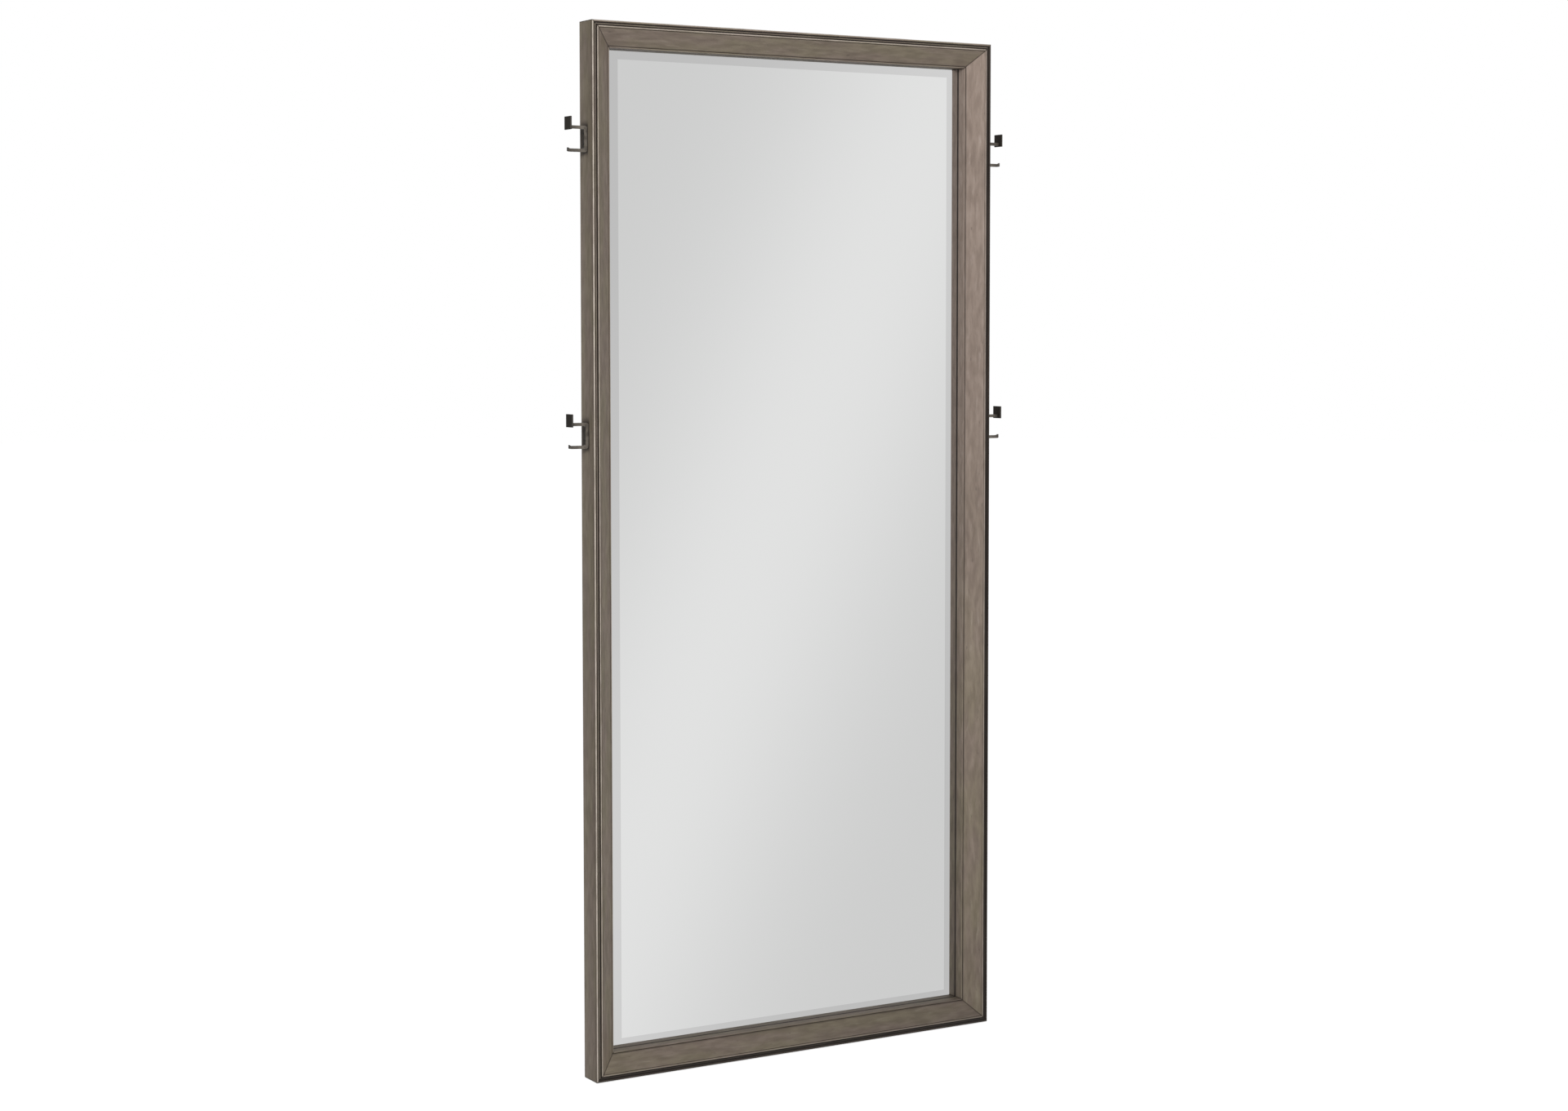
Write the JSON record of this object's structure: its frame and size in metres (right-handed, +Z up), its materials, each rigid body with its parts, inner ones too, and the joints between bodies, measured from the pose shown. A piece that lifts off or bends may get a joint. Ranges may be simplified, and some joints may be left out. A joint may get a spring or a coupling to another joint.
{
  "type": "floor mirror",
  "caption": "Tall rectangular floor mirror: bevelled glass in a deep mitred wooden frame, double hooks on its outer sides, swinging D-ring hangers and rubber bumpers at the back.",
  "frame": {"origin": "on the floor, below the middle of the object's bounding box", "axes": "+X to the viewer's right, +Y from the glass towards the wall, +Z up"},
  "size_m": [0.9944, 0.0644, 2.034],
  "materials": {
    "frame_wood": "satin taupe stain, rubbed on the beads",
    "mirror": "silvered and polished",
    "backing_board": "smooth brown hardboard",
    "zinc_steel": "bright zinc plate",
    "dark_bronze": "satin dark bronze",
    "black_rubber": "matt"
  },
  "bodies": {
    "mirror": {"casing_left": "frame_wood", "casing_right": "frame_wood", "casing_top": "frame_wood", "casing_bottom": "frame_wood", "moulding_left": "frame_wood", "moulding_right": "frame_wood", "moulding_top": "frame_wood", "moulding_bottom": "frame_wood", "mitre_nails": "zinc_steel", "mirror_glass": "mirror", "setting_blocks": "black_rubber", "backing_panel": "backing_board", "backing_clips": "zinc_steel", "backing_clip_screws": "zinc_steel", "hook_upper_left": "dark_bronze", "hook_upper_right": "dark_bronze", "hook_lower_left": "dark_bronze", "hook_lower_right": "dark_bronze", "hook_screws": "dark_bronze", "hanger_strap_left": "zinc_steel", "hanger_strap_right": "zinc_steel", "hanger_screws": "zinc_steel", "wall_bumper_left": "black_rubber", "wall_bumper_right": "black_rubber", "base_bumper_left": "black_rubber", "base_bumper_right": "black_rubber", "bumper_screws": "zinc_steel"},
    "ring_left": {"hanger_ring_left": "zinc_steel"},
    "ring_right": {"hanger_ring_right": "zinc_steel"}
  },
  "joints": [
    {"name": "left_ring_swing", "type": "hinge", "parent": "mirror", "child": "ring_left", "pos_m": [-0.4332, 0.02613, 1.704], "axis": [1, 0, 0], "range_deg": [0, 180]},
    {"name": "right_ring_swing", "type": "hinge", "parent": "mirror", "child": "ring_right", "pos_m": [0.4332, 0.02613, 1.704], "axis": [1, 0, 0], "range_deg": [0, 180]}
  ]
}
